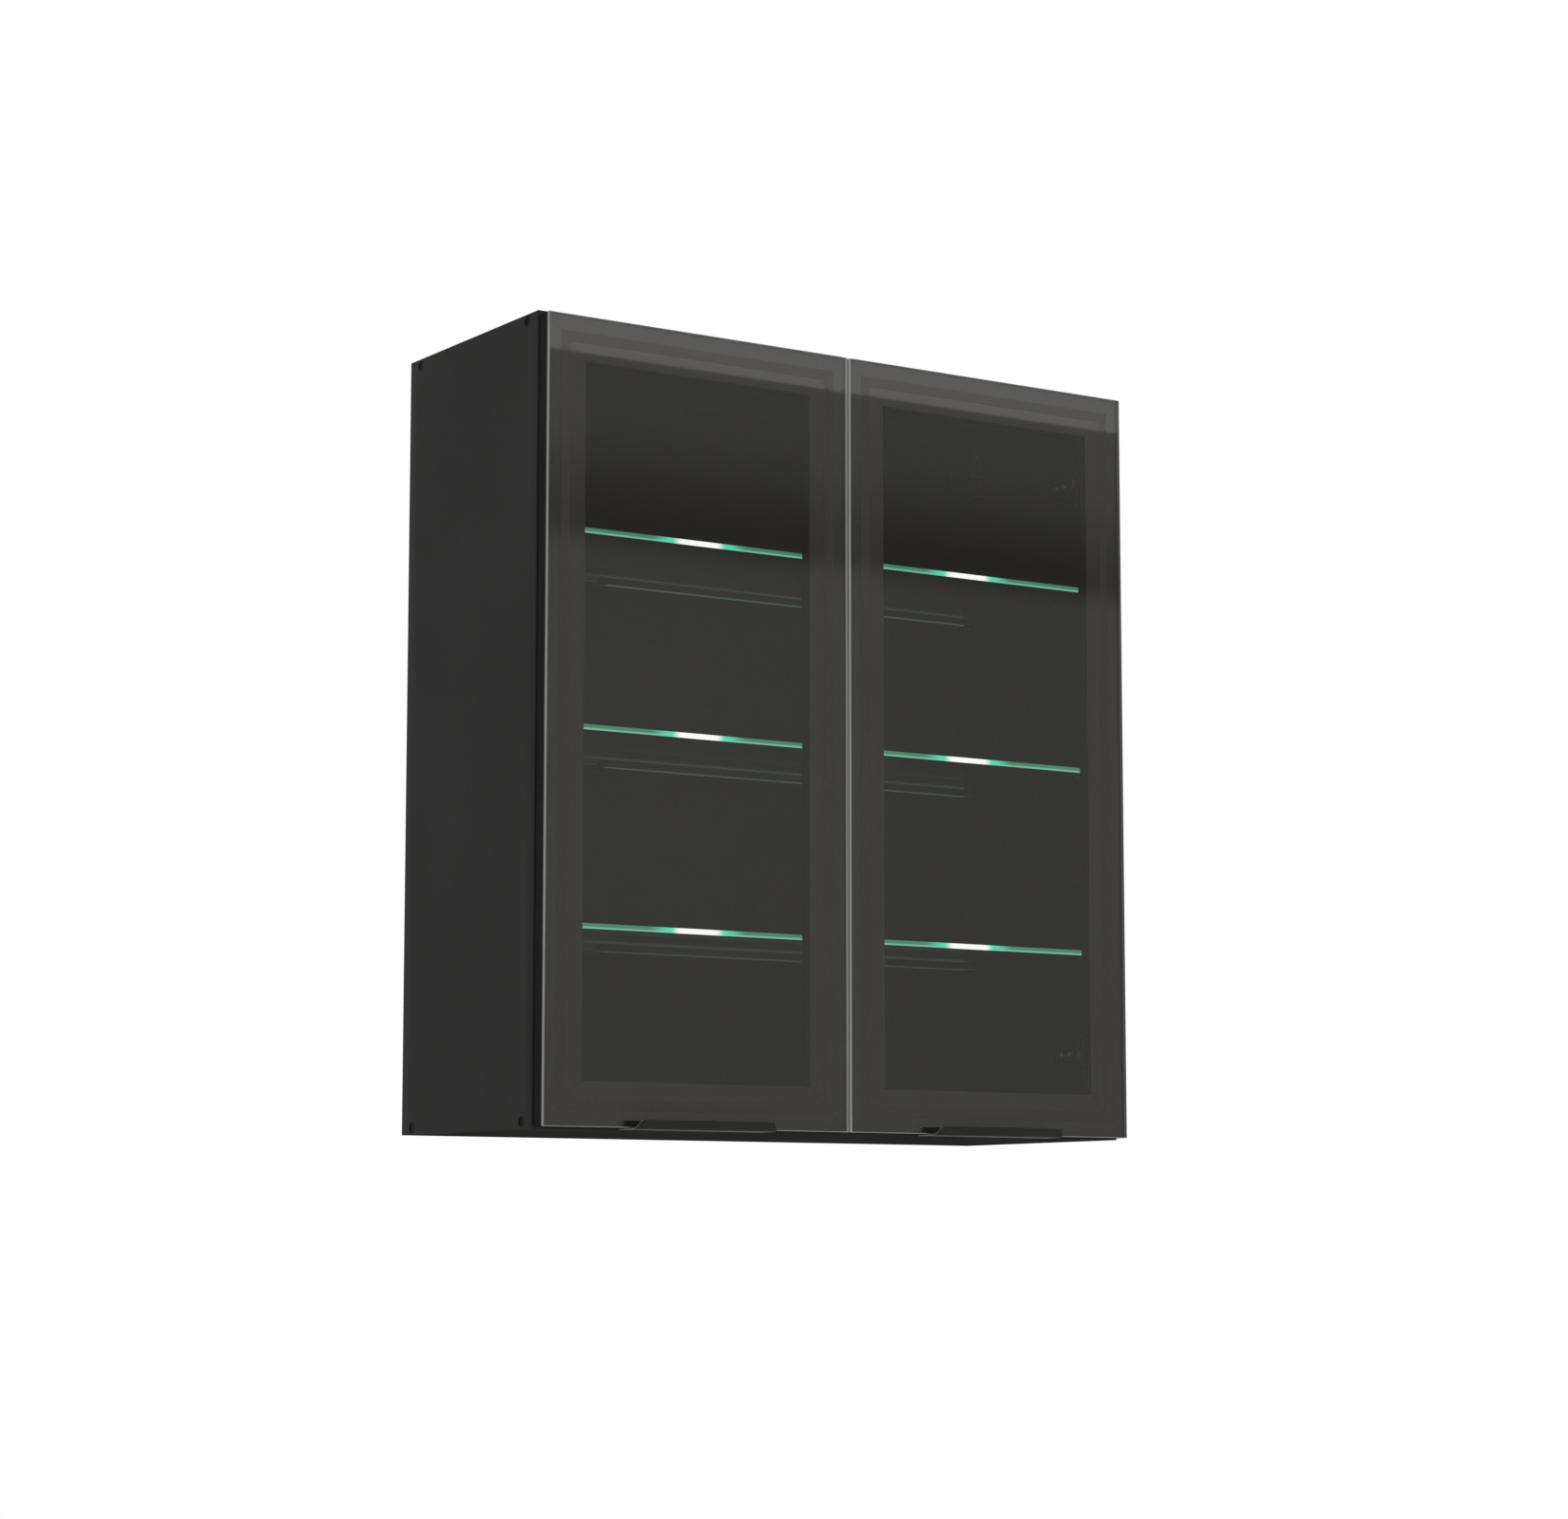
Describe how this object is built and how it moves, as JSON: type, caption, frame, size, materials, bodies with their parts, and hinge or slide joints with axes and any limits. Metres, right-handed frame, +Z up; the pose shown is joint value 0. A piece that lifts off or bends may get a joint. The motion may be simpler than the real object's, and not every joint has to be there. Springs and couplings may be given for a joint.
{
  "type": "wall display cabinet",
  "caption": "Wall-hung kitchen display cabinet with two framed dark-glass doors, concealed hinges, bottom edge pulls and lit glass shelves.",
  "frame": {"origin": "on the wall plane, midway between the two hanger hooks, at the underside of the hooks where they bear on the wall rail", "axes": "+X to the right seen from the front, +Y back into the wall, +Z up; the doors face -Y"},
  "size_m": [0.8, 0.342, 0.9],
  "materials": {
    "carcass_board": "graphite melamine-faced board, fine matt grain",
    "back_board": "thin graphite hardboard",
    "edge_band": "graphite edge band",
    "frame_board": "black lacquered board",
    "tinted_glass": "dark tinted float glass, polished edges",
    "shelf_glass": "clear float glass with a green edge",
    "pull_black": "black powder coat",
    "bright_steel": "nickel-plated steel",
    "cap_plastic": "black cap",
    "beech": "plain beech",
    "soft_pad": "clear soft pad",
    "clip_aluminium": "anodised",
    "light_lens": "opal diffuser, lit",
    "hanger_plastic": "light grey moulding",
    "bonding_tape": "black foam tape"
  },
  "bodies": {
    "cabinet": {"back_panel": "back_board", "bottom_panel": "carcass_board", "confirmat_screws": "bright_steel", "hanger_hooks": "bright_steel", "hanger_housings": "hanger_plastic", "hanger_pegs": "hanger_plastic", "hanger_screws": "bright_steel", "hinge_arm_pins": "bright_steel", "hinge_arm_screws": "bright_steel", "hinge_arms": "bright_steel", "hinge_closing_springs": "bright_steel", "hinge_mounting_plates": "bright_steel", "hinge_plate_screws": "bright_steel", "left_side_panel": "carcass_board", "level_edge_bands": "edge_band", "lower_glass_shelf": "shelf_glass", "middle_glass_shelf": "shelf_glass", "panel_dowels": "beech", "right_side_panel": "carcass_board", "screw_caps": "cap_plastic", "shelf_light_clips": "clip_aluminium", "shelf_light_lenses": "light_lens", "shelf_light_screws": "bright_steel", "shelf_pads": "soft_pad", "shelf_pins": "bright_steel", "side_edge_bands": "edge_band", "top_panel": "carcass_board", "upper_glass_shelf": "shelf_glass"},
    "left_door": {"left_hinge_stile": "frame_board", "left_free_stile": "frame_board", "left_top_rail": "frame_board", "left_bottom_rail": "frame_board", "left_corner_dowels": "beech", "left_bonding_tape": "bonding_tape", "left_glass_pane": "tinted_glass", "left_bumpers": "soft_pad", "left_edge_pull": "pull_black", "left_pull_screws": "bright_steel", "left_hinge_cups": "bright_steel", "left_cup_screws": "bright_steel", "left_cup_pins": "bright_steel"},
    "right_door": {"right_hinge_stile": "frame_board", "right_free_stile": "frame_board", "right_top_rail": "frame_board", "right_bottom_rail": "frame_board", "right_corner_dowels": "beech", "right_bonding_tape": "bonding_tape", "right_glass_pane": "tinted_glass", "right_bumpers": "soft_pad", "right_edge_pull": "pull_black", "right_pull_screws": "bright_steel", "right_hinge_cups": "bright_steel", "right_cup_screws": "bright_steel", "right_cup_pins": "bright_steel"},
    "left_links": {"left_hinge_links": "bright_steel"},
    "right_links": {"right_hinge_links": "bright_steel"}
  },
  "joints": [
    {"name": "left_link_pivot", "type": "hinge", "parent": "cabinet", "child": "left_links", "pos_m": [-0.365, -0.2871, -0.4065], "axis": [0, 0, 1], "range_deg": [0, 33.37]},
    {"name": "left_door_hinge", "type": "hinge", "parent": "left_links", "child": "left_door", "pos_m": [-0.3878, -0.3065, -0.4065], "axis": [0, 0, -1], "range_deg": [0, 127.37]},
    {"name": "right_link_pivot", "type": "hinge", "parent": "cabinet", "child": "right_links", "pos_m": [0.365, -0.2871, -0.4065], "axis": [0, 0, -1], "range_deg": [0, 33.37]},
    {"name": "right_door_hinge", "type": "hinge", "parent": "right_links", "child": "right_door", "pos_m": [0.3878, -0.3065, -0.4065], "axis": [0, 0, 1], "range_deg": [0, 127.37]}
  ],
  "couplings": [
    {"joint": "left_link_pivot", "follows": "left_door_hinge", "ratio": 0.26199},
    {"joint": "right_link_pivot", "follows": "right_door_hinge", "ratio": 0.26199}
  ]
}
